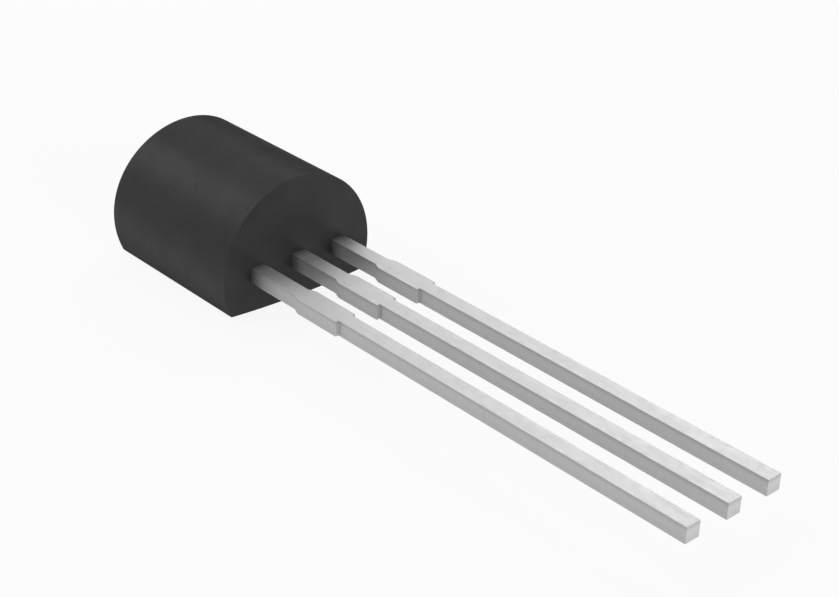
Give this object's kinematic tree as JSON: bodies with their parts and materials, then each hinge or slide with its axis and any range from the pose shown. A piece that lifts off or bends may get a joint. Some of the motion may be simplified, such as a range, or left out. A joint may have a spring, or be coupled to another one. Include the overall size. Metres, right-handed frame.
{
  "type": "temperature sensor",
  "caption": "Temperature sensor in a D-shaped moulded plastic body with straight flat leads in a row, for soldering through a circuit board.",
  "frame": {"origin": "middle of the centre lead where it leaves the body's front face", "axes": "+X along the leads towards their tips, +Y across the row towards lead 1, +Z from the flat side to the round side, so the part lies on its flat side"},
  "size_m": [0.0188, 0.0046, 0.0032],
  "materials": {
    "epoxy": "black moulding compound, satin with a very fine grain",
    "tinned_copper": "matt tin plating over a stamped copper alloy",
    "adhesive": "cured adhesive, grey",
    "silicon": "polished silicon",
    "gold": "drawn gold wire"
  },
  "bodies": {
    "root": {"moulded_body": "epoxy", "lead_1": "tinned_copper", "lead_2": "tinned_copper", "lead_3": "tinned_copper", "die_attach": "adhesive", "sensor_die": "silicon", "bond_wire_1": "gold", "bond_wire_2": "gold", "bond_wire_3": "gold"}
  },
  "joints": []
}
